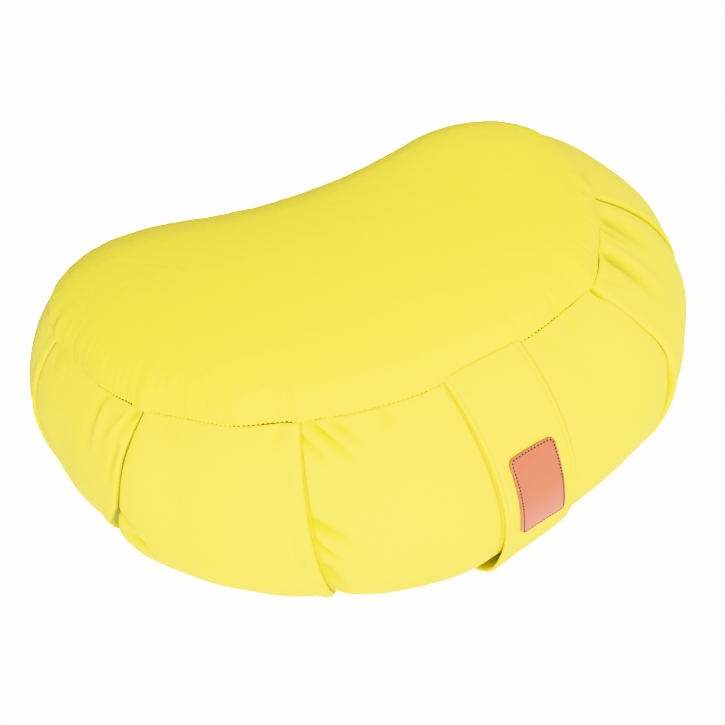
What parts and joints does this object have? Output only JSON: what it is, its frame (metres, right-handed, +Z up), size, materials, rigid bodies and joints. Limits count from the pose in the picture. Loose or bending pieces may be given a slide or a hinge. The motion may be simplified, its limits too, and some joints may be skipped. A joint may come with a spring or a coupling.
{
  "type": "crescent meditation cushion",
  "caption": "Firmly filled crescent floor cushion in yellow cotton, with a pleated side band, crowned top, flat carry handle and small leather patch.",
  "frame": {"origin": "under the middle of the cushion's box, on the surface it stands on", "axes": "+X along the long axis, -Y towards the convex front with the handle, +Y towards the hollow back, +Z up"},
  "size_m": [0.4438, 0.3492, 0.191],
  "materials": {
    "side_cotton": "plain woven yellow cotton, matt",
    "panel_cotton": "plain woven yellow cotton, matt",
    "strap_cotton": "doubled yellow cotton, topstitched edges",
    "patch_leather": "smooth salmon tan leather, satin"
  },
  "bodies": {
    "root": {"cushion_body": "side_cotton", "top_panel": "panel_cotton", "bottom_panel": "panel_cotton", "carry_handle": "strap_cotton", "leather_patch": "patch_leather"}
  },
  "joints": []
}
